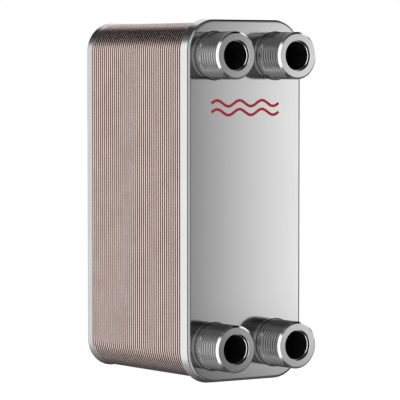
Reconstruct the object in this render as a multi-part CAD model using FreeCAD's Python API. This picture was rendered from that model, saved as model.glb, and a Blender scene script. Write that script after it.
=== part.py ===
import FreeCAD, Part
import math, os

# Brazed plate heat exchanger, standing upright with its four threaded
# connections facing -Y.  All lengths in millimetres.
# Origin: bottom centre of the bounding box.  +Z up, +X to the right when the
# connections are looked at from the front.
os.makedirs("parts", exist_ok=True)
V = FreeCAD.Vector

# ---------------------------------------------------------------- dimensions
# connection pattern and nipples
PORT_DX = 40.0            # horizontal distance between connection axes
PORT_DZ = 154.0           # vertical distance between connection axes
NIPPLE_L = 20.0           # projection of the nipples in front of the front cover
THREAD_R = 12.6           # crest radius of the external thread, 1 inch - 12
THREAD_P = 2.117          # thread pitch
THREAD_DEPTH = 1.15       # radial depth of the thread grooves
COLLAR_L = 3.05           # plain collar between front cover and thread
COLLAR_R = 13.0           # radius of the plain collar
NOSE_R = 11.1             # outer radius of the flat end ring
NOSE_C = 1.1              # axial length of the end chamfer
BORE_R = 7.5              # clear bore of the nipple
MOUTH_R = 8.1             # counterbore at the mouth
MOUTH_L = 1.3             # depth of the counterbore
SPIGOT_R = 10.6           # spigot passing through cover and reinforcing plate
RING_R = 13.45             # braze ring round each nipple root
RING_H = 0.4

# front cover: folded tray, skirt towards the back
FRONT_W = 75.2            # width at the rim of the skirt
FRONT_H = 193.8           # height at the rim of the skirt
FRONT_R = 17.6            # corner radius at the rim
FRONT_S = 6.5             # overall depth of the tray
FRONT_T = 2.0             # sheet thickness
FRONT_A = 7.0             # flare of the skirt, degrees
FRONT_RO = 1.5            # outer fold radius

REINF_T = 1.4             # thickness of the flat front reinforcing plate

# front sealing plate: a thicker tray between reinforcing plate and pack
SEALING_T = 0.8           # sheet thickness
SEALING_S = 3.5           # depth of the tray
SEALING_RO = 1.2          # outer fold radius
NEST_GAP = 0.03           # gap between nested skirts, filled by copper

# channel plates
N_PLATES = 43
PITCH = 2.02              # distance from plate to plate
SHEET = 0.4               # sheet thickness
PLATE_W = 70.6            # width at the rim of the skirt
PLATE_H = 189.2           # height at the rim of the skirt
PLATE_R = 15.5            # corner radius at the rim
PLATE_S = 5.5             # depth of the skirt
PLATE_A = 12.5            # flare of the skirt, degrees
PLATE_RO = 1.1            # outer fold radius
PORT_R = 8.8              # port hole of a channel plate
COLLAR_IN_R = 10.9        # flat of the raised port collar
COLLAR_OUT_R = 12.7       # foot of the raised port collar
RIB_PITCH = 9.2           # vertical distance between chevron ribs
RIB_ANGLE = 30.0          # slope of a rib arm, degrees from horizontal
RIB_HALF_X = 28.0         # half width of a chevron
RIB_GAP_X = 1.1           # half width of the plain strip down the middle
RIB_FOOT = 4.6            # width of a rib at the sheet, measured along Z
RIB_TOP = 1.9             # width of a rib at its top, measured along Z
RIB_FIRST = -64.0         # height of the first chevron's point, from the centre
N_RIBS = 13

# back
SEAL_T = 1.5              # thickness of the back sealing plate
BACK_W = 72.0
BACK_H = 190.6
BACK_R = 16.2
BACK_T = 1.2
BACK_A = 12.4
BACK_RO = 2.4
BACK_RIM = 99.7           # distance from front cover face to the back rim

BRAZE_LEG = 0.34          # height of a braze fillet on the skirt below it
FRONT_BEAD = 1.7          # length of the wider fillet behind the front cover's rim

# ---------------------------------------------------------------- positions
DEPTH = NIPPLE_L + BACK_RIM
Y_FACE = -DEPTH / 2.0 + NIPPLE_L          # outer face of the front cover
Z_MID = FRONT_H / 2.0                     # mid height of the whole exchanger
PORTS = {
    "upper_left": (-PORT_DX / 2, Z_MID + PORT_DZ / 2),
    "upper_right": (PORT_DX / 2, Z_MID + PORT_DZ / 2),
    "lower_left": (-PORT_DX / 2, Z_MID - PORT_DZ / 2),
    "lower_right": (PORT_DX / 2, Z_MID - PORT_DZ / 2),
}
SEALING_Y = FRONT_T + REINF_T             # front side of the sealing plate
FIRST_Y = SEALING_Y + SEALING_T           # front side of the first channel plate
LAST_BACK = FIRST_Y + PITCH * N_PLATES    # tops of the last plate's ribs
BACK_BASE = LAST_BACK + SEAL_T            # front side of the back cover's base


# ---------------------------------------------------------------- sheet trays
def tray_section(half, s, t, angle, ro, x0):
    """Closed section of a folded tray edge: flat base from x0 outwards, fold,
    skirt flared outwards up to depth s.  Returned as a face in the XY plane
    with X outwards and Y along the depth."""
    a = math.radians(angle)
    ca, sa = math.cos(a), math.sin(a)
    ri = ro - t
    cx = half + (sa * (ro - s) - ro) / ca
    c = V(cx, ro, 0)
    n = V(ca, -sa, 0)
    to, ti = c + n * ro, c + n * ri
    am = math.radians(-90 + (90 - angle) / 2.0)
    mid = V(math.cos(am), math.sin(am), 0)
    p_out, p_in = V(half, s, 0), V(half - t / ca, s, 0)
    e = [Part.makeLine(V(x0, 0, 0), V(cx, 0, 0)),
         Part.Arc(V(cx, 0, 0), c + mid * ro, to).toShape(),
         Part.makeLine(to, p_out),
         Part.makeLine(p_out, p_in)]
    if ri > 0.02:
        e.append(Part.makeLine(p_in, ti))
        e.append(Part.Arc(ti, c + mid * ri, V(cx, t, 0)).toShape())
        e.append(Part.makeLine(V(cx, t, 0), V(x0, t, 0)))
    else:                                    # sheet thicker than the fold: sharp inside
        k = V(p_in.x - (s - t) * math.tan(a), t, 0)
        e.append(Part.makeLine(p_in, k))
        e.append(Part.makeLine(k, V(x0, t, 0)))
    e.append(Part.makeLine(V(x0, t, 0), V(x0, 0, 0)))
    return Part.Face(Part.Wire(e))


def sweep_rounded(face_at, w, h, r, base_t=None):
    """Sweep a section round a rounded rectangle w x h with corner radius r.
    face_at(x0_local) gives the section measured from the corner axis."""
    xc, zc = w / 2 - r, h / 2 - r
    solids = []
    f = face_at()
    # straight flanks; the section's X is rho, the distance from the corner axis
    fx = f.copy()
    fx.translate(V(xc, 0, -zc))
    right = fx.extrude(V(0, 0, 2 * zc))
    solids.append(right)
    left = right.copy()
    left.rotate(V(0, 0, 0), V(0, 1, 0), 180)
    solids.append(left)
    fz = f.copy()
    fz.rotate(V(0, 0, 0), V(0, 1, 0), -90)       # rho now along +Z
    fz.translate(V(-xc, 0, zc))
    top = fz.extrude(V(2 * xc, 0, 0))
    solids.append(top)
    bottom = top.copy()
    bottom.rotate(V(0, 0, 0), V(0, 1, 0), 180)
    solids.append(bottom)
    for k, (sx, sz) in enumerate(((1, 1), (1, -1), (-1, -1), (-1, 1))):
        g = f.copy()
        # quarter turn about Y, starting so that it fills its own quadrant
        start = {(1, 1): -90, (1, -1): 0, (-1, -1): 90, (-1, 1): 180}[(sx, sz)]
        g.rotate(V(0, 0, 0), V(0, 1, 0), start)
        q = g.revolve(V(0, 0, 0), V(0, 1, 0), 90)
        q.translate(V(sx * xc, 0, sz * zc))
        solids.append(q)
    if base_t:
        solids.append(Part.makeBox(2 * xc, base_t, 2 * zc, V(-xc, 0, -zc)))
    out = solids[0].fuse(solids[1:])
    return out.removeSplitter()


def tray(w, h, r, s, t, angle, ro):
    return sweep_rounded(lambda: tray_section(r, s, t, angle, ro, 0.0), w, h, r, t)


def solid_of(shape):
    s = shape.Solids
    if len(s) != 1:
        raise ValueError("expected one solid, got %d" % len(s))
    return s[0]


def disc(x, z, r, y0, y1):
    return Part.makeCylinder(r, y1 - y0, V(x, y0, z), V(0, 1, 0))


# ---------------------------------------------------------------- covers
front = tray(FRONT_W, FRONT_H, FRONT_R, FRONT_S, FRONT_T, FRONT_A, FRONT_RO)
for sx in (-1, 1):
    for sz in (-1, 1):
        front = front.cut(disc(sx * PORT_DX / 2, sz * PORT_DZ / 2, SPIGOT_R, -1, FRONT_T + 1))
front = solid_of(front)

# sealing plate: its inner skirt face lies NEST_GAP outside the first channel
# plate's outer skirt face
pa = math.tan(math.radians(PLATE_A))
pc = math.cos(math.radians(PLATE_A))
seal_rim = SEALING_Y + SEALING_S
grow = (SEALING_T + NEST_GAP) / pc - (FIRST_Y + PLATE_S - seal_rim) * pa
sealing = tray(PLATE_W + 2 * grow, PLATE_H + 2 * grow, PLATE_R + grow,
               SEALING_S, SEALING_T, PLATE_A, SEALING_RO)
for sx in (-1, 1):
    for sz in (-1, 1):
        sealing = sealing.cut(disc(sx * PORT_DX / 2, sz * PORT_DZ / 2, SPIGOT_R, -1, SEALING_T + 1))
sealing = solid_of(sealing)

back_s = BACK_RIM - BACK_BASE
back = solid_of(tray(BACK_W, BACK_H, BACK_R, back_s, BACK_T, BACK_A, BACK_RO))


# ---------------------------------------------------------------- flat plates
def rounded_plate(w, h, r, y0, y1):
    xc, zc = w / 2 - r, h / 2 - r
    p = [V(-xc, y0, -h / 2), V(xc, y0, -h / 2), V(w / 2, y0, -zc), V(w / 2, y0, zc),
         V(xc, y0, h / 2), V(-xc, y0, h / 2), V(-w / 2, y0, zc), V(-w / 2, y0, -zc)]
    k = r * math.sqrt(0.5)
    m = [V(xc + k, y0, -zc - k), V(xc + k, y0, zc + k), V(-xc - k, y0, zc + k), V(-xc - k, y0, -zc - k)]
    e = [Part.makeLine(p[0], p[1]), Part.Arc(p[1], m[0], p[2]).toShape(),
         Part.makeLine(p[2], p[3]), Part.Arc(p[3], m[1], p[4]).toShape(),
         Part.makeLine(p[4], p[5]), Part.Arc(p[5], m[2], p[6]).toShape(),
         Part.makeLine(p[6], p[7]), Part.Arc(p[7], m[3], p[0]).toShape()]
    return Part.Face(Part.Wire(e)).extrude(V(0, y1 - y0, 0))


# width of a channel plate where its fold starts
flat_cut = 2 * (PLATE_S * pa + PLATE_RO)
reinf = rounded_plate(PLATE_W - flat_cut, PLATE_H - flat_cut, PLATE_R - flat_cut / 2,
                      FRONT_T, SEALING_Y)
for sx in (-1, 1):
    for sz in (-1, 1):
        reinf = reinf.cut(disc(sx * PORT_DX / 2, sz * PORT_DZ / 2, SPIGOT_R, 0, SEALING_Y + 1))
reinf = solid_of(reinf)

seal = solid_of(rounded_plate(PLATE_W - flat_cut - 1.2, PLATE_H - flat_cut - 1.2,
                              PLATE_R - flat_cut / 2 - 0.6, LAST_BACK, LAST_BACK + SEAL_T))


# ---------------------------------------------------------------- channel plate
def prism(poly_a, ya, poly_b, yb):
    """Solid between two similar polygons (lists of x, z) at depths ya and yb."""
    a = [V(x, ya, z) for x, z in poly_a]
    b = [V(x, yb, z) for x, z in poly_b]
    faces = [Part.Face(Part.makePolygon(a + [a[0]])), Part.Face(Part.makePolygon(b + [b[0]]))]
    n = len(a)
    for i in range(n):
        j = (i + 1) % n
        faces.append(Part.Face(Part.makePolygon([a[i], a[j], b[j], b[i], a[i]])))
    s = Part.Solid(Part.Shell(faces))
    if s.Volume < 0:
        s.reverse()
    return s


def chevron(z0, in_x, half_x, foot):
    """Outlines of the two arms of a chevron pointing at (0, z0)."""
    k = math.tan(math.radians(RIB_ANGLE))
    h = foot / 2.0
    right = [(in_x, z0 + k * in_x - h), (half_x, z0 + k * half_x - h),
             (half_x, z0 + k * half_x + h), (in_x, z0 + k * in_x + h)]
    left = [(-x, z) for x, z in reversed(right)]
    return right, left


def channel_plate(turn):
    """turn = 1: chevrons point down and the raised collars are on the right;
    turn = -1: the same plate turned half a turn about its own normal."""
    body = tray(PLATE_W, PLATE_H, PLATE_R, PLATE_S, SHEET, PLATE_A, PLATE_RO)
    grow, cut = [], []
    # chevron ribs, pressed out of the sheet towards the back
    slope = (RIB_FOOT - RIB_TOP) / 2.0 / (PITCH - SHEET)       # per mm of depth
    for i in range(N_RIBS):
        z0 = RIB_FIRST + i * RIB_PITCH
        def outline(y, inner):
            w = RIB_FOOT - 2 * slope * (y - SHEET)
            x = RIB_HALF_X + 0.8 - slope * (y - SHEET)
            c = RIB_GAP_X + slope * (y - SHEET)
            if inner:
                e = SHEET * 1.25 + slope * SHEET
                w -= 2 * e
                x -= e
                c += e
            return [[(turn * px, turn * pz) for px, pz in arm] for arm in chevron(z0, c, x, w)]
        for arm in (0, 1):
            grow.append(prism(outline(SHEET * 0.5, False)[arm], SHEET * 0.5,
                              outline(PITCH, False)[arm], PITCH))
            cut.append(prism(outline(-0.2, True)[arm], -0.2,
                             outline(PITCH - SHEET, True)[arm], PITCH - SHEET))
    body = body.fuse(grow)
    body = body.cut(cut)
    # raised collars on one pair of ports, plain port holes on the other
    for sz in (-1, 1):
        z = sz * PORT_DZ / 2
        x = turn * PORT_DX / 2
        body = body.cut(disc(x, z, COLLAR_OUT_R, -1, PITCH + 1))
        pts = [(COLLAR_OUT_R, 0), (COLLAR_OUT_R, SHEET), (COLLAR_OUT_R - 0.5, SHEET),
               (COLLAR_IN_R, PITCH), (PORT_R, PITCH), (PORT_R, PITCH - SHEET),
               (COLLAR_IN_R - 0.25, PITCH - SHEET), (COLLAR_OUT_R - 0.75, 0)]
        w = Part.makePolygon([V(r, y, 0) for r, y in pts] + [V(pts[0][0], pts[0][1], 0)])
        ring = Part.Face(w).revolve(V(0, 0, 0), V(0, 1, 0), 360)
        ring.translate(V(x, 0, z))
        body = body.fuse(ring)
        body = body.cut(disc(-x, z, PORT_R, -1, PITCH + 1))
    return solid_of(body)


plate_a = channel_plate(1)
plate_b = channel_plate(-1)


# ---------------------------------------------------------------- nipples
def nipple_section():
    """Half section, X the radius and Y the depth, Y = 0 at the front cover's
    face and negative towards the connection's mouth."""
    p = [(BORE_R, FIRST_Y), (SPIGOT_R, FIRST_Y), (SPIGOT_R, 0.0), (COLLAR_R, 0.0),
         (COLLAR_R, -COLLAR_L + 0.35), (THREAD_R, -COLLAR_L)]
    crest = THREAD_P * 0.16
    root = THREAD_P * 0.16
    flank = (THREAD_P - crest - root) / 2.0
    y = -COLLAR_L - crest
    p.append((THREAD_R, y))
    end = -(NIPPLE_L - NOSE_C)
    while y - THREAD_P > end - 0.02:
        p.append((THREAD_R - THREAD_DEPTH, y - flank))
        p.append((THREAD_R - THREAD_DEPTH, y - flank - root))
        p.append((THREAD_R, y - 2 * flank - root))
        p.append((THREAD_R, y - THREAD_P))
        y -= THREAD_P
    p[-1] = (THREAD_R, end)
    p.append((NOSE_R, -NIPPLE_L))
    p += [(MOUTH_R, -NIPPLE_L), (MOUTH_R, -(NIPPLE_L - MOUTH_L)), (BORE_R, -(NIPPLE_L - MOUTH_L))]
    return p


def revolved(points):
    pts = [V(r, y, 0) for r, y in points]
    return Part.Face(Part.makePolygon(pts + [pts[0]])).revolve(V(0, 0, 0), V(0, 1, 0), 360)


nip = revolved(nipple_section())
ring = revolved([(COLLAR_R, 0), (RING_R, 0), (COLLAR_R + RING_H * 0.4, -RING_H * 0.4), (COLLAR_R, -RING_H)])


# ---------------------------------------------------------------- braze seams
def seam(w_in, h_in, r_in, y_rim, angle, leg):
    """Copper fillet in the step behind a skirt's rim.  w_in, h_in, r_in are the
    outline of the next skirt in the plane of the rim y_rim."""
    a = math.tan(math.radians(angle))
    def f():
        return Part.Face(Part.makePolygon([V(r_in, y_rim, 0), V(r_in + leg, y_rim, 0),
                                           V(r_in + leg * a, y_rim + leg, 0),
                                           V(r_in, y_rim, 0)]))
    return solid_of(sweep_rounded(f, w_in, h_in, r_in))


def outline_at(w, h, r, s, angle, y_from_rim):
    d = math.tan(math.radians(angle)) * y_from_rim      # towards the base
    return w - 2 * d, h - 2 * d, r - d


# ---------------------------------------------------------------- write
def put(name, shapes, dx=0.0, dy=0.0):
    """Place shapes (given with Y = 0 at the front cover's face and the port
    pattern's centre at X = Z = 0) and write them."""
    out = []
    for s in shapes:
        c = s.copy()
        c.translate(V(dx, Y_FACE + dy, Z_MID))
        out.append(c)
    shape = out[0] if len(out) == 1 else Part.makeCompound(out)
    if not shape.isValid():
        print("INVALID", name)
    shape.exportStep("parts/%s.step" % name)
    return shape


total = {}
total["front_cover"] = put("front_cover", [front])
total["front_reinforcing_plate"] = put("front_reinforcing_plate", [reinf])
total["front_sealing_plate"] = put("front_sealing_plate", [sealing], dy=SEALING_Y)
for i in range(N_PLATES):
    name = "channel_plate_%02d" % (i + 1)
    total[name] = put(name, [plate_a if i % 2 == 0 else plate_b], dy=FIRST_Y + i * PITCH)
total["back_sealing_plate"] = put("back_sealing_plate", [seal])
total["back_cover"] = put("back_cover", [back], dy=BACK_BASE)
rings = []
for name, (x, z) in PORTS.items():
    c = nip.copy()
    c.translate(V(x, 0, z - Z_MID))
    total["nipple_" + name] = put("nipple_" + name, [c])
    r = ring.copy()
    r.translate(V(x, 0, z - Z_MID))
    rings.append(r)
total["nipple_braze_rings"] = put("nipple_braze_rings", rings)

# one copper fillet behind the front cover's rim and behind each plate's rim
seams = []
rim_y = [FIRST_Y + i * PITCH + PLATE_S for i in range(N_PLATES)]
def front_seam():
    """Wide fillet from the front cover's rim over the sealing plate's rim down
    to the first channel plate's skirt."""
    def on_plate(y):                       # distance from the corner axis
        return PLATE_R - (rim_y[0] - y) * pa
    gs = (SEALING_T + NEST_GAP) / pc
    y2 = FRONT_S + FRONT_BEAD
    outer = PLATE_R + (FRONT_W - PLATE_W) / 2.0 - FRONT_T * 0.55
    pts = [(on_plate(FRONT_S) + gs, FRONT_S), (outer, FRONT_S), (on_plate(y2), y2),
           (on_plate(seal_rim), seal_rim), (on_plate(seal_rim) + gs, seal_rim)]
    def f():
        return Part.Face(Part.makePolygon([V(a, b, 0) for a, b in pts]
                                          + [V(pts[0][0], pts[0][1], 0)]))
    return solid_of(sweep_rounded(f, PLATE_W, PLATE_H, PLATE_R))


seams.append(front_seam())
w, h, r = outline_at(PLATE_W, PLATE_H, PLATE_R, PLATE_S, PLATE_A, PITCH)
one = seam(w, h, r, 0.0, PLATE_A, BRAZE_LEG)
for y in rim_y[:-1]:
    c = one.copy()
    c.translate(V(0, y, 0))
    seams.append(c)
w, h, r = outline_at(BACK_W, BACK_H, BACK_R, back_s, BACK_A, BACK_RIM - rim_y[-1])
seams.append(seam(w, h, r, rim_y[-1], BACK_A, BRAZE_LEG))
total["braze_seams"] = put("braze_seams", seams)

bb = Part.makeCompound(list(total.values())).BoundBox
print("bbox", [round(v, 3) for v in (bb.XMin, bb.YMin, bb.ZMin, bb.XMax, bb.YMax, bb.ZMax)])
print("nodes", len(total), "faces per channel plate", len(plate_a.Faces))
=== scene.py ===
import bpy, bmesh, math, random
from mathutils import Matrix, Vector, noise


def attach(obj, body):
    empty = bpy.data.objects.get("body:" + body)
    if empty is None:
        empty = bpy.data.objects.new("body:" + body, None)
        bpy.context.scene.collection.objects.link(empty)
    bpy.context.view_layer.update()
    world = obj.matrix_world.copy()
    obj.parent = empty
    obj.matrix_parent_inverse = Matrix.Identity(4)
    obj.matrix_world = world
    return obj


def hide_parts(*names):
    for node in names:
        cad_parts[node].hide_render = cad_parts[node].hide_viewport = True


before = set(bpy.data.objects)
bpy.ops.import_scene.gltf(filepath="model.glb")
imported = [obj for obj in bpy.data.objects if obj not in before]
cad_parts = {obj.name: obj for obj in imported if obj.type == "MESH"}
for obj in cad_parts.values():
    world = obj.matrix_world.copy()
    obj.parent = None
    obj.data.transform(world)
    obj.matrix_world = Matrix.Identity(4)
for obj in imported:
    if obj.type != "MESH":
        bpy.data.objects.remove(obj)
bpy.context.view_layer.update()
scene = bpy.context.scene
MM = 0.001
rnd = random.Random(7)

# ------------------------------------------------------------------ dimensions (mm, as the CAD has them)
NIPPLE_L, BACK_RIM = 20.0, 99.7
Y_FACE = -(NIPPLE_L + BACK_RIM) / 2 + NIPPLE_L
FRONT_W, FRONT_H, FRONT_R, FRONT_S, FRONT_T, FRONT_A, FRONT_RO = 75.2, 193.8, 17.6, 6.5, 2.0, 7.0, 1.5
Z_MID = FRONT_H / 2
PORT_DX, PORT_DZ = 40.0, 154.0
THREAD_R, THREAD_P, THREAD_D = 12.6, 2.117, 1.15
COLLAR_L, COLLAR_R, NOSE_R, NOSE_C = 3.05, 12.75, 11.1, 1.25
BORE_R, MOUTH_R, MOUTH_L, SPIGOT_R = 7.5, 8.1, 1.3, 10.6
RING_R, RING_H = 13.15, 0.35
N_PLATES, PITCH, SHEET = 43, 2.02, 0.4
PLATE_W, PLATE_H, PLATE_R, PLATE_S, PLATE_A = 70.6, 189.2, 15.5, 5.5, 12.5
BACK_W, BACK_H, BACK_R, BACK_T, BACK_A, BACK_RO = 72.0, 190.6, 16.2, 1.2, 12.4, 2.4
FIRST_Y = 4.2
BACK_BASE = FIRST_Y + PITCH * N_PLATES + 1.5
PORTS = {"upper_left": (-20.0, Z_MID + 77), "upper_right": (20.0, Z_MID + 77),
         "lower_left": (-20.0, Z_MID - 77), "lower_right": (20.0, Z_MID - 77)}


# ------------------------------------------------------------------ mesh helpers
def new_object(name, bm, smooth=True, sharp_deg=35.0, weighted=False):
    bmesh.ops.remove_doubles(bm, verts=bm.verts, dist=1e-7)
    bmesh.ops.recalc_face_normals(bm, faces=bm.faces)
    me = bpy.data.meshes.new(name)
    bm.to_mesh(me)
    bm.free()
    ob = bpy.data.objects.new(name, me)
    scene.collection.objects.link(ob)
    if smooth:
        for p in me.polygons:
            p.use_smooth = True
        me.set_sharp_from_angle(angle=math.radians(sharp_deg))
    if weighted:
        mod = ob.modifiers.new("face_weighted_normals", "WEIGHTED_NORMAL")
        mod.keep_sharp = True
        mod.weight = 80
    return ob


def fillet(points, radii, seg=4):
    """Round the inner corners of an open polyline of 2-D points."""
    out = [points[0]]
    for i in range(1, len(points) - 1):
        p, q, s, r = Vector(points[i]), Vector(points[i - 1]), Vector(points[i + 1]), radii[i]
        a, b = (q - p), (s - p)
        la, lb = a.length, b.length
        if r <= 0 or la < 1e-9 or lb < 1e-9:
            out.append(tuple(p))
            continue
        a.normalize(); b.normalize()
        ang = a.angle(b)
        if ang > math.pi - 0.02:
            out.append(tuple(p))
            continue
        d = min(r / math.tan(ang / 2), la * 0.49, lb * 0.49)
        rr = d * math.tan(ang / 2)
        bis = (a + b).normalized()
        c = p + bis * (rr / math.sin(ang / 2))
        v0, v1 = (p + a * d) - c, (p + b * d) - c
        t0, t1 = math.atan2(v0.y, v0.x), math.atan2(v1.y, v1.x)
        dt = (t1 - t0 + math.pi) % (2 * math.pi) - math.pi
        for k in range(seg + 1):
            t = t0 + dt * k / seg
            out.append((c.x + rr * math.cos(t), c.y + rr * math.sin(t)))
    out.append(points[-1])
    return out


def lathe(name, profile, x, z, n=128, material_of=None):
    """Revolve (r, depth) points about the axis parallel to Y through (x, z); depth is measured from the front face."""
    bm = bmesh.new()
    rings = []
    for r, y in profile:
        rings.append([bm.verts.new(((x + r * math.cos(2 * math.pi * i / n)) * MM, (Y_FACE + y) * MM,
                                    (z + r * math.sin(2 * math.pi * i / n)) * MM)) for i in range(n)])
    for j in range(len(rings) - 1):
        for i in range(n):
            k = (i + 1) % n
            f = bm.faces.new((rings[j][i], rings[j][k], rings[j + 1][k], rings[j + 1][i]))
            if material_of:
                f.material_index = material_of(profile[j], profile[j + 1])
    return bm


def loop_points(w, h, r, off, nc=14, ns_x=1, ns_z=1):
    """Rounded rectangle through the rho = r + off line; (x, z) all round."""
    xc, zc = w / 2 - r, h / 2 - r
    rho = r + off
    pts = []
    for k, (sx, sz, a0) in enumerate(((1, 1, 0), (-1, 1, 90), (-1, -1, 180), (1, -1, 270))):
        for i in range(nc + 1):
            a = math.radians(a0 + 90 * i / nc)
            pts.append((sx * xc + rho * math.cos(a), sz * zc + rho * math.sin(a)))
        n = ns_x if k % 2 == 0 else ns_z
        nxt = [(-1, 1), (-1, -1), (1, -1), (1, 1)][k]
        a = math.radians(a0 + 90)
        p0 = (sx * xc + rho * math.cos(a), sz * zc + rho * math.sin(a))
        p1 = (nxt[0] * xc + rho * math.cos(a), nxt[1] * zc + rho * math.sin(a))
        for i in range(1, n):
            t = i / n
            pts.append((p0[0] + (p1[0] - p0[0]) * t, p0[1] + (p1[1] - p0[1]) * t))
    return pts


def sweep(bm, profile, w, h, r, y0=0.0, closed=False, nc=14, ns_x=1, ns_z=1, wobble=None):
    """Sweep (rho, depth) points round a rounded rectangle; rho is measured from the corner axis."""
    loops = []
    for j, (rho, y) in enumerate(profile):
        pts = loop_points(w, h, r, rho - r, nc, ns_x, ns_z)
        row = []
        for i, (px, pz) in enumerate(pts):
            dx = dy = dz = 0.0
            if wobble:
                dx, dy, dz = wobble(px, y0 + y, pz, j)
            row.append(bm.verts.new(((px + dx) * MM, (Y_FACE + y0 + y + dy) * MM, (Z_MID + pz + dz) * MM)))
        loops.append(row)
    n = len(loops[0])
    pairs = list(zip(loops, loops[1:])) + ([(loops[-1], loops[0])] if closed else [])
    for a, b in pairs:
        for i in range(n):
            k = (i + 1) % n
            bm.faces.new((a[i], a[k], b[k], b[i]))
    return loops


# ------------------------------------------------------------------ materials
def material(name):
    m = bpy.data.materials.new(name)
    m.use_nodes = True
    nt = m.node_tree
    nt.nodes.clear()
    out = nt.nodes.new("ShaderNodeOutputMaterial")
    bsdf = nt.nodes.new("ShaderNodeBsdfPrincipled")
    nt.links.new(bsdf.outputs["BSDF"], out.inputs["Surface"])
    return m, nt, bsdf


def tex_coord(nt, scale=(1, 1, 1)):
    tc = nt.nodes.new("ShaderNodeTexCoord")
    mp = nt.nodes.new("ShaderNodeMapping")
    mp.inputs["Scale"].default_value = scale
    nt.links.new(tc.outputs["Object"], mp.inputs["Vector"])
    return mp


def noise_node(nt, vec, scale, detail=4.0, rough=0.55, distortion=0.0):
    n = nt.nodes.new("ShaderNodeTexNoise")
    n.inputs["Scale"].default_value = scale
    n.inputs["Detail"].default_value = detail
    n.inputs["Roughness"].default_value = rough
    n.inputs["Distortion"].default_value = distortion
    nt.links.new(vec.outputs[0], n.inputs["Vector"])
    return n


def ramp(nt, src, stops):
    r = nt.nodes.new("ShaderNodeValToRGB")
    els = r.color_ramp.elements
    els.remove(els[-1])
    first = True
    for p, c in stops:
        e = els[0] if first else els.new(p)
        e.position = p
        e.color = c if len(c) == 4 else (*c, 1.0)
        first = False
    nt.links.new(src, r.inputs["Fac"])
    return r


def grey(v):
    return (v, v, v, 1.0)


def map_range(nt, src, lo, hi, f0=0.0, f1=1.0):
    m = nt.nodes.new("ShaderNodeMapRange")
    m.inputs["From Min"].default_value = f0
    m.inputs["From Max"].default_value = f1
    m.inputs["To Min"].default_value = lo
    m.inputs["To Max"].default_value = hi
    nt.links.new(src, m.inputs["Value"])
    return m


def math_node(nt, op, a, b=None, clamp=False):
    m = nt.nodes.new("ShaderNodeMath")
    m.operation = op
    m.use_clamp = clamp
    for k, val in enumerate((a, b)):
        if val is None:
            continue
        if isinstance(val, bpy.types.NodeSocket):
            nt.links.new(val, m.inputs[k])
        else:
            m.inputs[k].default_value = val
    return m.outputs[0]


def smooth(nt, src, f0, f1, lo=0.0, hi=1.0):
    m = map_range(nt, src, lo, hi, f0, f1)
    m.interpolation_type = "SMOOTHSTEP"
    return m.outputs[0]


def window(nt, src, lo, hi, soft_lo, soft_hi=None):
    soft_hi = soft_lo if soft_hi is None else soft_hi
    a = smooth(nt, src, lo - soft_lo / 2, lo + soft_lo / 2)
    b = smooth(nt, src, hi + soft_hi / 2, hi - soft_hi / 2)
    return math_node(nt, "MULTIPLY", a, b)


def mix_rgb(nt, fac, a, b, mode="MIX"):
    m = nt.nodes.new("ShaderNodeMix")
    m.data_type = "RGBA"
    m.blend_type = mode
    for sock, val in ((m.inputs[0], fac), (m.inputs[6], a), (m.inputs[7], b)):
        if hasattr(val, "links") or isinstance(val, bpy.types.NodeSocket):
            nt.links.new(val, sock)
        else:
            sock.default_value = val
    return m


def add_bump(nt, bsdf, height, strength, distance):
    b = nt.nodes.new("ShaderNodeBump")
    b.inputs["Strength"].default_value = strength
    b.inputs["Distance"].default_value = distance
    nt.links.new(height, b.inputs["Height"])
    nt.links.new(b.outputs["Normal"], bsdf.inputs["Normal"])
    return b


def steel(name, base=(0.52, 0.52, 0.52), rough=(0.10, 0.16), brushed=(1, 1, 1), bump=0.02, tint=0.03):
    """Rolled stainless sheet: near-mirror, with rolling grain and faint mottling."""
    m, nt, bsdf = material(name)
    bsdf.inputs["Metallic"].default_value = 1.0
    vec = tex_coord(nt)
    grain_v = tex_coord(nt, brushed)
    mottle = noise_node(nt, vec, 38.0, 3.0, 0.5)
    grain = noise_node(nt, grain_v, 900.0, 5.0, 0.6)
    col = mix_rgb(nt, mottle.outputs["Fac"], tuple(c * (1 - tint) for c in base) + (1.0,),
                  tuple(min(1, c * (1 + tint)) for c in base) + (1.0,))
    nt.links.new(col.outputs[2], bsdf.inputs["Base Color"])
    rr = map_range(nt, grain.outputs["Fac"], rough[0], rough[1], 0.3, 0.7)
    nt.links.new(rr.outputs[0], bsdf.inputs["Roughness"])
    add_bump(nt, bsdf, grain.outputs["Fac"], bump, 0.00002)
    return m


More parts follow.
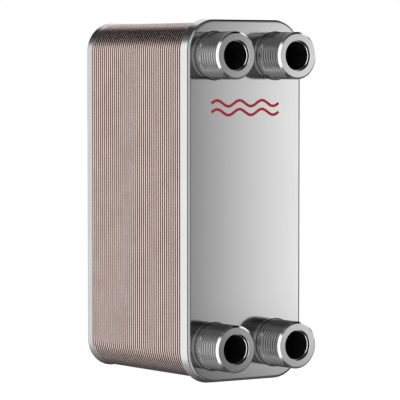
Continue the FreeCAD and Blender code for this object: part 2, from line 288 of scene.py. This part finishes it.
def pack_steel(name):
    """Stainless sheet washed with copper from the braze (real tone); by Y phase each rim keeps the light copper tone as
    a painted highlight, and the groove before it is painted near-black shade.
    """
    m, nt, bsdf = material(name)
    bsdf.inputs["Metallic"].default_value = 1.0
    vec = tex_coord(nt)
    wash = noise_node(nt, vec, 60.0, 4.0, 0.6)
    sep = nt.nodes.new("ShaderNodeSeparateXYZ")
    nt.links.new(vec.outputs[0], sep.inputs[0])
    rim0 = (Y_FACE + FIRST_Y + PLATE_S) * MM
    ph = math_node(nt, "DIVIDE", math_node(nt, "SUBTRACT", sep.outputs[1], rim0 - 20 * PITCH * MM), PITCH * MM)
    ph = math_node(nt, "FRACT", ph)
    # Painted light: the first ramp is the painted rim highlight, the second the painted shade in the groove before each
    # rim.
    painted_rim_highlight = ramp(nt, wash.outputs["Fac"], [(0.30, (0.735, 0.598, 0.564)), (0.55, (0.785, 0.648, 0.614)),
                                            (0.75, (0.82, 0.70, 0.665))])
    dark = ramp(nt, wash.outputs["Fac"], [(0.30, (0.075, 0.045, 0.037)), (0.70, (0.11, 0.070, 0.060))])
    # Painted highlight over the last quarter of each pitch, at the rim; painted shade over the rest.
    edge = window(nt, ph, 0.74, 1.2, 0.12)
    col = mix_rgb(nt, edge, dark.outputs["Color"], painted_rim_highlight.outputs["Color"])
    nt.links.new(col.outputs[2], bsdf.inputs["Base Color"])
    rr = map_range(nt, wash.outputs["Fac"], 0.14, 0.20, 0.3, 0.7)
    nt.links.new(rr.outputs[0], bsdf.inputs["Roughness"])
    return m


def copper(name, base=((0.62, 0.40, 0.33), (0.78, 0.60, 0.53)), rough=(0.22, 0.38)):
    m, nt, bsdf = material(name)
    bsdf.inputs["Metallic"].default_value = 1.0
    vec = tex_coord(nt)
    a = noise_node(nt, vec, 150.0, 4.0, 0.6)
    b = noise_node(nt, vec, 1200.0, 3.0, 0.6)
    col = ramp(nt, a.outputs["Fac"], [(0.35, base[0]), (0.65, base[1])])
    nt.links.new(col.outputs["Color"], bsdf.inputs["Base Color"])
    rr = map_range(nt, b.outputs["Fac"], rough[0], rough[1], 0.3, 0.7)
    nt.links.new(rr.outputs[0], bsdf.inputs["Roughness"])
    return m


def turned(name, base=(0.74, 0.74, 0.74), rough=(0.09, 0.14)):
    """Lathe-turned steel: base tone and roughness mottled by noise."""
    m, nt, bsdf = material(name)
    bsdf.inputs["Metallic"].default_value = 1.0
    vec = tex_coord(nt)
    mottle = noise_node(nt, vec, 120.0, 3.0, 0.5)
    col = mix_rgb(nt, mottle.outputs["Fac"], tuple(c * 0.94 for c in base) + (1.0,),
                  tuple(c * 1.05 for c in base) + (1.0,))
    nt.links.new(col.outputs[2], bsdf.inputs["Base Color"])
    rr = map_range(nt, mottle.outputs["Fac"], rough[0], rough[1], 0.3, 0.7)
    nt.links.new(rr.outputs[0], bsdf.inputs["Roughness"])
    return m


def painted_bore_shade(name):
    """Near-black painted shade for the walls inside a connection's bore."""
    m, nt, bsdf = material(name)
    bsdf.inputs["Metallic"].default_value = 0.6
    vec = tex_coord(nt)
    a = noise_node(nt, vec, 220.0, 4.0, 0.6)
    col = ramp(nt, a.outputs["Fac"], [(0.3, (0.010, 0.010, 0.010)), (0.7, (0.030, 0.027, 0.025))])
    nt.links.new(col.outputs["Color"], bsdf.inputs["Base Color"])
    rr = map_range(nt, a.outputs["Fac"], 0.55, 0.8, 0.3, 0.7)
    nt.links.new(rr.outputs[0], bsdf.inputs["Roughness"])
    return m


def enamel(name):
    """Red paint run into the stamped mark."""
    m, nt, bsdf = material(name)
    vec = tex_coord(nt)
    a = noise_node(nt, vec, 400.0, 3.0, 0.6)
    col = ramp(nt, a.outputs["Fac"], [(0.3, (0.60, 0.012, 0.018)), (0.7, (0.80, 0.024, 0.034))])
    nt.links.new(col.outputs["Color"], bsdf.inputs["Base Color"])
    rr = map_range(nt, a.outputs["Fac"], 0.28, 0.42, 0.3, 0.7)
    nt.links.new(rr.outputs[0], bsdf.inputs["Roughness"])
    add_bump(nt, bsdf, a.outputs["Fac"], 0.1, 0.00005)
    return m


M_COVER = steel("cover_steel", rough=(0.08, 0.13), brushed=(1, 1, 0.05))
M_BACK = steel("back_cover_steel", base=(0.43, 0.42, 0.42), rough=(0.12, 0.2), brushed=(1, 1, 0.05))
# Painted shade: the front part of the back cover's outer skirt, next to the last plate, is painted near-black (0.10,
# 0.08, 0.075) where shade falls in the seam between pack and cover.
nt = M_BACK.node_tree
bsdf = next(n for n in nt.nodes if n.type == "BSDF_PRINCIPLED")
sep = nt.nodes.new("ShaderNodeSeparateXYZ")
nt.links.new(tex_coord(nt).outputs[0], sep.inputs[0])
old = bsdf.inputs["Base Color"].links[0].from_socket
out_x = math_node(nt, "SUBTRACT", math_node(nt, "ABSOLUTE", sep.outputs[0], 0.0), 34.2 * MM)
out_z = math_node(nt, "SUBTRACT", math_node(nt, "ABSOLUTE", math_node(nt, "SUBTRACT", sep.outputs[2], Z_MID * MM), 0.0), 93.5 * MM)
outer = smooth(nt, math_node(nt, "MAXIMUM", out_x, out_z), -0.1 * MM, 0.1 * MM)
groove = math_node(nt, "MULTIPLY", outer, smooth(nt, sep.outputs[1], 56.4 * MM, 55.7 * MM))
shade = mix_rgb(nt, groove, old, (0.10, 0.08, 0.075, 1.0))
nt.links.new(shade.outputs[2], bsdf.inputs["Base Color"])
M_INNER = steel("inner_plate_steel", base=(0.55, 0.53, 0.51), rough=(0.3, 0.45))
M_PACK = pack_steel("pack_steel")
M_BEAD = copper("copper_braze", base=((0.69, 0.555, 0.518), (0.79, 0.67, 0.635)), rough=(0.13, 0.20))
# One turned steel at four base tones: the thread (0.44) and the end ring (0.52) are darker copies of the 0.74 steel,
# painted shade that dims their glints; the collar (0.72) keeps nearly the full tone.
M_NIP = turned("nipple_steel")
M_THREAD = turned("nipple_thread_steel", base=(0.44, 0.44, 0.44), rough=(0.13, 0.18))
M_COLLAR = turned("nipple_collar_steel", base=(0.72, 0.72, 0.72), rough=(0.20, 0.28))
M_END = turned("nipple_end_steel", base=(0.52, 0.52, 0.52), rough=(0.10, 0.16))
# Near-black painted shade on the bore walls of each nipple.
M_DARK = painted_bore_shade("painted_shade_bore")
M_RED = enamel("red_enamel")
# Near-black painted shade: the root bead stands in for the dark crevice where each collar meets the cover.
M_ROOT_CREVICE_SHADE = copper("braze_ring", base=((0.05, 0.048, 0.047), (0.09, 0.086, 0.084)), rough=(0.35, 0.5))


def use(ob, *mats):
    slots = [p.material_index for p in ob.data.polygons]
    ob.data.materials.clear()
    for m in mats:
        ob.data.materials.append(m)
    if len(mats) > 1:
        for p, k in zip(ob.data.polygons, slots):
            p.material_index = k


for name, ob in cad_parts.items():
    if name.startswith("channel_plate"):
        use(ob, M_PACK)
    elif name in ("front_reinforcing_plate", "front_sealing_plate", "back_sealing_plate"):
        use(ob, M_INNER)
    elif name == "back_cover":
        use(ob, M_BACK)


# ------------------------------------------------------------------ front cover
def tray_profile(r, s, t, angle, ro, start, rim_round=0.28, seg=14):
    """Outer flat -> fold -> skirt -> rim -> inner skirt -> inner flat, as (rho, depth)."""
    a = math.radians(angle)
    ca, sa = math.cos(a), math.sin(a)
    cx = r + (sa * (ro - s) - ro) / ca
    pts = [(start, 0.0), (cx - 0.35, 0.0)]
    for k in range(seg + 1):
        th = math.radians(-90 + (90 - angle) * k / seg)
        pts.append((cx + ro * math.cos(th), ro + ro * math.sin(th)))
    x_skirt = lambda y: r - (s - y) * math.tan(a)
    rim = [(x_skirt(ro + 0.6), ro + 0.6), (r, s), (r - t / ca, s), (r - t / ca - (s - t - 0.8) * math.tan(a), t + 0.8)]
    rim = fillet(rim, [0, rim_round, rim_round, 0], 5)
    pts += rim[0:]
    ri = max(ro - t, 0.5)
    k = (r - t / ca - (s - t) * math.tan(a), t)
    inner = fillet([pts[-1], k, (start, t)], [0, ri, 0], 5)
    pts += inner[1:-1]
    pts += [(inner[-2][0] - 0.35, t)]
    return pts, cx


def front_cover():
    bm = bmesh.new()
    prof, cx = tray_profile(FRONT_R, FRONT_S, FRONT_T, FRONT_A, FRONT_RO, 8.0)
    prof = prof[1:]
    loops = sweep(bm, prof, FRONT_W, FRONT_H, FRONT_R, nc=28)

    def holes_ring(y, rows):
        """Hole edge circles at depth y, and a guard circle outside each so the flat stays flat."""
        edges, rims = [], {}
        for key, (hx, hz) in PORTS.items():
            outer = [bm.verts.new(((hx + (SPIGOT_R + 0.5) * math.cos(a)) * MM, (Y_FACE + y) * MM,
                                   (hz + (SPIGOT_R + 0.5) * math.sin(a)) * MM))
                     for a in (2 * math.pi * i / 64 for i in range(64))]
            inner = [bm.verts.new(((hx + SPIGOT_R * math.cos(a)) * MM, (Y_FACE + y) * MM,
                                   (hz + SPIGOT_R * math.sin(a)) * MM))
                     for a in (2 * math.pi * i / 64 for i in range(64))]
            for i in range(64):
                k = (i + 1) % 64
                bm.faces.new((outer[i], outer[k], inner[k], inner[i]))
                edges.append(bm.edges.get((outer[i], outer[k])))
            rims[key] = inner
        return edges, rims

    fe, fr = holes_ring(0.0, loops[0])
    be, br = holes_ring(FRONT_T, loops[-1])
    for loop, es in ((loops[0], fe), (loops[-1], be)):
        n = len(loop)
        es = es + [bm.edges.get((loop[i], loop[(i + 1) % n])) for i in range(n)]
        bmesh.ops.triangle_fill(bm, use_beauty=True, use_dissolve=False, edges=es)
    for key in PORTS:
        a, b = fr[key], br[key]
        for i in range(64):
            k = (i + 1) % 64
            bm.faces.new((a[i], a[k], b[k], b[i]))
    ob = new_object("front_cover_sheet", bm, sharp_deg=50, weighted=True)
    use(ob, M_COVER)
    return ob


cover = front_cover()
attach(cover, "root")
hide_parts("front_cover")


# ------------------------------------------------------------------ stamped mark: two parallel red flow waves, no lettering
MARK_W, MARK_Z, MARK_STROKE = 44.0, 146.3 - Z_MID, 1.5
bm = bmesh.new()
for row_z, phase in ((2.35, 0.0), (-2.35, 0.0)):
    steps = 120
    sect = [(-0.50, 0.04), (-0.50, -0.03), (-0.42, -0.07), (0.42, -0.07), (0.50, -0.03), (0.50, 0.04)]
    rows = []
    for i in range(steps + 1):
        t = i / steps
        px = (t - 0.5) * MARK_W
        k = 2 * math.pi * 3 / MARK_W
        pz = row_z + 1.55 * math.sin(k * (px + MARK_W / 2) + phase)
        slope = 1.55 * k * math.cos(k * (px + MARK_W / 2) + phase)
        ln = math.hypot(1, slope)
        nx, nz = -slope / ln, 1 / ln
        rows.append([bm.verts.new(((px + nx * q * MARK_STROKE) * MM, (Y_FACE + d) * MM,
                                   (Z_MID + MARK_Z + pz + nz * q * MARK_STROKE) * MM)) for q, d in sect])
    for a, b in zip(rows, rows[1:]):
        for j in range(len(sect)):
            k2 = (j + 1) % len(sect)
            bm.faces.new((a[j], b[j], b[k2], a[k2]))
    bm.faces.new(rows[0])
    bm.faces.new(rows[-1][::-1])
bmesh.ops.recalc_face_normals(bm, faces=bm.faces)
mark = new_object("cover_mark", bm, sharp_deg=30)
use(mark, M_RED)
mark.visible_glossy = False
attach(mark, "root")


# ------------------------------------------------------------------ nipples with a true helical thread
def nipple(key, x, z):
    n = 160
    y_a, y_b = -COLLAR_L - 0.25, -(NIPPLE_L - 1.1)
    sub = 12
    shape = [(0.0, 0.0), (0.07, 0.02), (0.16, 0.22), (0.28, 0.62), (0.38, 0.93), (0.44, 1.0),
             (0.50, 1.0), (0.56, 0.93), (0.66, 0.62), (0.78, 0.22), (0.87, 0.02), (0.94, 0.0)]
    bm = bmesh.new()
    turns = (y_a - y_b) / THREAD_P
    rows = int(math.ceil((turns + 2) * sub))

    def radius(frac, y):
        depth = 0.0
        for (f0, d0), (f1, d1) in zip(shape, shape[1:] + [(1.0, 0.0)]):
            if f0 <= frac <= f1:
                depth = d0 + (d1 - d0) * (frac - f0) / (f1 - f0)
        fade_in = min(1.0, max(0.0, (y_a - y) / (0.55 * THREAD_P)))
        r = THREAD_R - THREAD_D * depth * fade_in ** 0.7
        fade_out = min(1.0, max(0.0, (y - y_b) / (0.5 * THREAD_P)))
        return THREAD_R - (THREAD_R - r) * fade_out

    grid = []
    for i in range(n):
        th = 2 * math.pi * i / n
        col = []
        for j in range(rows + sub + 1):
            k, f = divmod(j, sub)
            frac = shape[f][0]
            y = y_a + THREAD_P - (k + frac) * THREAD_P - THREAD_P * i / n
            y = min(y_a, max(y_b, y))
            r = radius(frac, y)
            col.append(bm.verts.new(((x + r * math.cos(th)) * MM, (Y_FACE + y) * MM, (z + r * math.sin(th)) * MM)))
        grid.append(col)
    for i in range(n):
        for j in range(rows):
            if i < n - 1:
                q = (grid[i][j], grid[i + 1][j], grid[i + 1][j + 1], grid[i][j + 1])
            else:
                q = (grid[i][j], grid[0][j + sub], grid[0][j + 1 + sub], grid[i][j + 1])
            if all((a.co - b.co).length > 1e-9 for a, b in zip(q, q[1:] + q[:1])):
                bm.faces.new(q)
            else:
                u = []
                for v in q:
                    if not any((v.co - w.co).length < 1e-9 for w in u):
                        u.append(v)
                if len(u) == 3:
                    bm.faces.new(u)
    loose = [v for v in bm.verts if not v.link_faces]
    bmesh.ops.delete(bm, geom=loose, context="VERTS")
    for f in bm.faces:
        f.material_index = 4
    # plain collar and spigot
    outer = [(THREAD_R, y_a), (THREAD_R, -COLLAR_L), (COLLAR_R, -COLLAR_L + 0.35), (COLLAR_R, 0.0),
             (SPIGOT_R, 0.0), (SPIGOT_R, FIRST_Y), (BORE_R, FIRST_Y)]
    outer = fillet(outer, [0, 0.08, 0.15, 0.12, 0.05, 0.1, 0], 3)
    # end ring, counterbore, bore
    end, step = -NIPPLE_L, -(NIPPLE_L - MOUTH_L)
    inner = [(THREAD_R, y_b), (THREAD_R, end + 1.0), (NOSE_R + 0.42, end), (MOUTH_R + 0.14, end), (MOUTH_R, end + 0.13),
             (MOUTH_R, step), (BORE_R + 0.22, step), (BORE_R, step + 0.22), (BORE_R, FIRST_Y)]
    for prof in (outer, inner):
        rings = []
        for r, y in prof:
            rings.append([bm.verts.new(((x + r * math.cos(2 * math.pi * i / n)) * MM, (Y_FACE + y) * MM,
                                        (z + r * math.sin(2 * math.pi * i / n)) * MM)) for i in range(n)])
        for (p0, a), (p1, b) in zip(zip(prof, rings), list(zip(prof, rings))[1:]):
            # Bore walls under 10 mm radius take the near-black painted shade (slot 1); flat rings of the inner profile
            # take the end steel (slot 2).
            dark = 1 if (prof is inner and p0[0] == p1[0] and p0[0] < 10) else (2 if prof is inner and p0[1] == p1[1] else 0)
            for i in range(n):
                k = (i + 1) % n
                f = bm.faces.new((a[i], a[k], b[k], b[i]))
                f.material_index = dark if prof is inner else 3
    ob = new_object("nipple_body_" + key, bm, sharp_deg=24, weighted=True)
    use(ob, M_NIP, M_DARK, M_END, M_COLLAR, M_THREAD)
    return ob


for key, (x, z) in PORTS.items():
    ob = nipple(key, x, z)
    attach(ob, "root")
    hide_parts("nipple_" + key)

# braze ring at each nipple's root: a rolled bead with a tight crease against the collar, coloured near-black as painted
# shade of the crevice at the collar's foot
bm = bmesh.new()
for key, (x, z) in PORTS.items():
    n = 128
    ph = rnd.random() * 6.28
    prof = [(COLLAR_R - 0.02, 0.0), (COLLAR_R - 0.02, -RING_H + 0.02), (COLLAR_R + 0.04, -RING_H + 0.03),
            (COLLAR_R + 0.09, -0.22), (COLLAR_R + 0.17, -0.10), (RING_R - 0.09, -0.04), (RING_R - 0.03, 0.0)]
    rings = []
    for r, y in prof:
        row = []
        for i in range(n):
            a = 2 * math.pi * i / n
            w = noise.noise(Vector((math.cos(a) * 2.2 + ph, math.sin(a) * 2.2, 3.1)))
            rr = r + (0.03 * w if r > COLLAR_R + 0.1 else 0.0)
            yy = y * (1 + 0.04 * w)
            row.append(bm.verts.new(((x + rr * math.cos(a)) * MM, (Y_FACE + yy) * MM, (z + rr * math.sin(a)) * MM)))
        rings.append(row)
    rings.append(rings[0])
    for a, b in zip(rings, rings[1:]):
        for i in range(n):
            k = (i + 1) % n
            bm.faces.new((a[i], a[k], b[k], b[i]))
rings_ob = new_object("nipple_root_beads", bm, sharp_deg=80)
use(rings_ob, M_ROOT_CREVICE_SHADE)
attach(rings_ob, "root")
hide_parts("nipple_braze_rings")


# ------------------------------------------------------------------ copper beads along every rim of the pack
def bead_profile(rho, y, r, n=9):
    """Round bead lapping over a sheet rim whose outer corner is at (rho, y)."""
    c = (rho - r * 0.80, y - r * 0.30)
    return [(c[0] + r * math.cos(2 * math.pi * k / n), c[1] + r * math.sin(2 * math.pi * k / n)) for k in range(n)]


bm = bmesh.new()
for i in range(N_PLATES):
    rim = FIRST_Y + i * PITCH + PLATE_S
    seed = rnd.random() * 50

    def wob(px, py, pz, j, seed=seed):
        w = noise.noise(Vector((px * 0.11 + seed, pz * 0.11, seed)))
        return (0.0, 0.05 * w, 0.0)

    sweep(bm, bead_profile(PLATE_R, rim, 0.20), PLATE_W, PLATE_H, PLATE_R, closed=True, nc=14, ns_x=6, ns_z=20, wobble=wob)
beads = new_object("pack_braze_beads", bm, sharp_deg=180)
use(beads, M_BEAD)
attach(beads, "root")
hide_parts("braze_seams")

# ------------------------------------------------------------------ camera
cam = bpy.data.cameras.new("camera")
cam.lens = 250.6
cam.sensor_width = 36.0
cam.clip_start, cam.clip_end = 0.05, 50
co = bpy.data.objects.new("camera", cam)
co.location = (-0.86831, -1.24156, 0.16649)
co.rotation_euler = (math.radians(90 - 2.68), 0, math.radians(-34.92))
scene.collection.objects.link(co)
scene.camera = co

# ------------------------------------------------------------------ studio
bm = bmesh.new()
s = 6.0
vs = [bm.verts.new(p) for p in ((-s, -s, 0), (s, -s, 0), (s, s, 0), (-s, s, 0))]
bm.faces.new(vs)
floor = new_object("studio_floor", bm, smooth=False)
m, nt, bsdf = material("floor_white")
bsdf.inputs["Base Color"].default_value = (0.5, 0.5, 0.5, 1)
bsdf.inputs["Roughness"].default_value = 1.0
bsdf.inputs["Specular IOR Level"].default_value = 0.0
bsdf.inputs["Emission Color"].default_value = (1, 1, 1, 1)
bsdf.inputs["Emission Strength"].default_value = 1.0
use(floor, m)
floor.visible_glossy = False
floor.visible_diffuse = False
floor.visible_shadow = False

# The surroundings.  Behind the object the glow goes round the +Y axis (0 = right, 90 = up, 180 = left);
# in front of it there are soft boxes by azimuth (0 = +Y, 90 = +X) and elevation in a dim room.
ROOM = 0.08
BEHIND = [(0, 1.420), (20, 1.349), (42, 1.207), (60, 1.136), (75, 1.207), (81, 0.880), (88, 0.483), (94, 0.185), (101, 0.071),
          (110, 0.057), (120, 0.057), (131, 0.142), (140, 0.241), (146, 0.398), (150, 0.710), (155, 1.093), (160, 1.491), (164, 1.534),
          (206, 1.534), (214, 1.207), (230, 0.710), (250, 0.483), (272, 0.256), (300, 0.099), (338, 0.071), (351, 0.100), (357, 0.300),
          (360, 1.420)]
#        az0   az1   el0  el1  soft_az soft_el level
BOXES = [(-66, -40, -16, 15, 6, 8, 1.53),        # left wall of light, its front end
         (-200, -146, 24, 60, 20, 16, 0.20),     # dim fill, high in front
         (152, 200, -60, -14, 14, 16, 0.40),     # dim fill, low in front
         (-200, -146, -60, -14, 14, 16, 0.40),
         (-168, -118, -25, 28, 14, 12, 0.45),    # grey wall round the camera
         (-112, -68, -25, 45, 10, 12, 0.24),     # far left of the room
         (-150, -45, -82, -32, 12, 10, 0.24),    # glow from the floor on the left
         (56, 140, -75, -22, 10, 10, 0.14),      # glow from the floor on the right
         (132, 178, -25, 26, 8, 10, 0.55),       # behind the graded card
         (-180, 180, 72, 91, 1, 8, 0.25)]        # overhead
STRIPS = [(-139, -119, -78, 60, 6, 10, 1.5),     # panels beside the camera, for first reflections only
          (-178, -162, -40, 30, 4, 10, 1.3),
          (72, 98, 14, 42, 6, 8, 1.2)]
GAP = (50, 122, 40, 64, 10, 8)                    # unlit gap over the right rear
world = bpy.data.worlds.new("studio")
scene.world = world
world.use_nodes = True
wn = world.node_tree
wn.nodes.clear()
wo = wn.nodes.new("ShaderNodeOutputWorld")
tc = wn.nodes.new("ShaderNodeTexCoord")
sx = wn.nodes.new("ShaderNodeSeparateXYZ")
wn.links.new(tc.outputs["Generated"], sx.inputs[0])
az = math_node(wn, "MULTIPLY", math_node(wn, "ARCTAN2", sx.outputs[0], sx.outputs[1]), 180 / math.pi)
el = math_node(wn, "MULTIPLY", math_node(wn, "ARCSINE", sx.outputs[2]), 180 / math.pi)
turn = math_node(wn, "ADD", math_node(wn, "MULTIPLY", math_node(wn, "ARCTAN2", sx.outputs[2], sx.outputs[0]), 0.5 / math.pi), 1.0)
turn = math_node(wn, "FRACT", turn)
behind = ramp(wn, turn, [(b_ / 360.0, (v_ / 3, v_ / 3, v_ / 3)) for b_, v_ in BEHIND])
sep_b = wn.nodes.new("ShaderNodeSeparateColor")
wn.links.new(behind.outputs["Color"], sep_b.inputs[0])
rear = smooth(wn, sx.outputs[1], 0.30, 0.55)
total = math_node(wn, "MULTIPLY", math_node(wn, "MULTIPLY", sep_b.outputs[0], 3.0), rear)
total = math_node(wn, "MAXIMUM", total, ROOM)
for a0, a1, e0, e1, sa, se, level in BOXES:
    w = math_node(wn, "MULTIPLY", window(wn, az, a0, a1, sa), window(wn, el, e0, e1, se))
    total = math_node(wn, "MAXIMUM", math_node(wn, "MULTIPLY", w, level), total)
w = math_node(wn, "MULTIPLY", window(wn, az, GAP[0], GAP[1], GAP[4]), window(wn, el, GAP[2], GAP[3], GAP[5]))
total = math_node(wn, "MULTIPLY", total, math_node(wn, "SUBTRACT", 1.0, math_node(wn, "MULTIPLY", w, 0.93)))
lp = wn.nodes.new("ShaderNodeLightPath")
first = math_node(wn, "LESS_THAN", lp.outputs["Ray Depth"], 2.5)
for a0, a1, e0, e1, sa, se, level in STRIPS:
    w = math_node(wn, "MULTIPLY", window(wn, az, a0, a1, sa), window(wn, el, e0, e1, se))
    w = math_node(wn, "MULTIPLY", w, first)
    total = math_node(wn, "MAXIMUM", math_node(wn, "MULTIPLY", w, level), total)
bg_cam = wn.nodes.new("ShaderNodeBackground")
bg_cam.inputs["Color"].default_value = (1, 1, 1, 1)
bg_lit = wn.nodes.new("ShaderNodeBackground")
wn.links.new(total, bg_lit.inputs["Strength"])
bg_lit.inputs["Color"].default_value = (1, 1, 1, 1)
mx = wn.nodes.new("ShaderNodeMixShader")
wn.links.new(lp.outputs["Is Camera Ray"], mx.inputs[0])
wn.links.new(bg_lit.outputs[0], mx.inputs[1])
wn.links.new(bg_cam.outputs[0], mx.inputs[2])
wn.links.new(mx.outputs[0], wo.inputs["Surface"])


def card(name, centre, facing, w, h, level_left, level_right):
    """Upright glowing card; its glow grades from its left to its right edge as seen from the object."""
    d = Vector(facing).normalized()                 # from the object to the card
    right = d.cross(Vector((0, 0, 1))).normalized()
    up = right.cross(d)
    bm = bmesh.new()
    vs = [bm.verts.new((sx_ * w / 2, sy_ * h / 2, 0)) for sx_, sy_ in ((-1, -1), (1, -1), (1, 1), (-1, 1))]
    bm.faces.new(vs)
    ob = new_object(name, bm, smooth=False)
    from mathutils import Matrix
    rot = Matrix((right, up, -d)).transposed().to_4x4()
    ob.matrix_world = Matrix.Translation(Vector(centre)) @ rot
    m = bpy.data.materials.new(name + "_glow")
    m.use_nodes = True
    nt = m.node_tree
    nt.nodes.clear()
    out = nt.nodes.new("ShaderNodeOutputMaterial")
    em = nt.nodes.new("ShaderNodeEmission")
    tco = nt.nodes.new("ShaderNodeTexCoord")
    sep = nt.nodes.new("ShaderNodeSeparateXYZ")
    nt.links.new(tco.outputs["Object"], sep.inputs[0])
    lv = map_range(nt, sep.outputs[0], level_left, level_right, -w / 2, w / 2)
    lo = math_node(nt, "MINIMUM", math_node(nt, "MAXIMUM", lv.outputs[0], 0.05), 1.8)
    foot = math_node(nt, "MULTIPLY", smooth(nt, sep.outputs[1], -0.175, -0.06), smooth(nt, sep.outputs[0], -0.078, -0.060))
    head = smooth(nt, sep.outputs[1], 0.20, 0.09)
    lo = math_node(nt, "MULTIPLY", math_node(nt, "MULTIPLY", lo, foot), head)
    nt.links.new(lo, em.inputs["Strength"])
    nt.links.new(em.outputs[0], out.inputs["Surface"])
    ob.data.materials.append(m)
    ob.visible_camera = False
    return ob


v_in = Vector((0.572, 0.819, -0.047)).normalized()
refl = Vector((v_in.x, -v_in.y, v_in.z))
CARD_D = 0.40
card("graded_card", Vector((0.0, Y_FACE * MM, Z_MID * MM)) + refl * CARD_D, refl, 0.30, 0.46, 0.935 + 14.2 * 0.15, 0.935 - 14.2 * 0.15)

scene.view_settings.view_transform = "Standard"
scene.view_settings.look = "None"
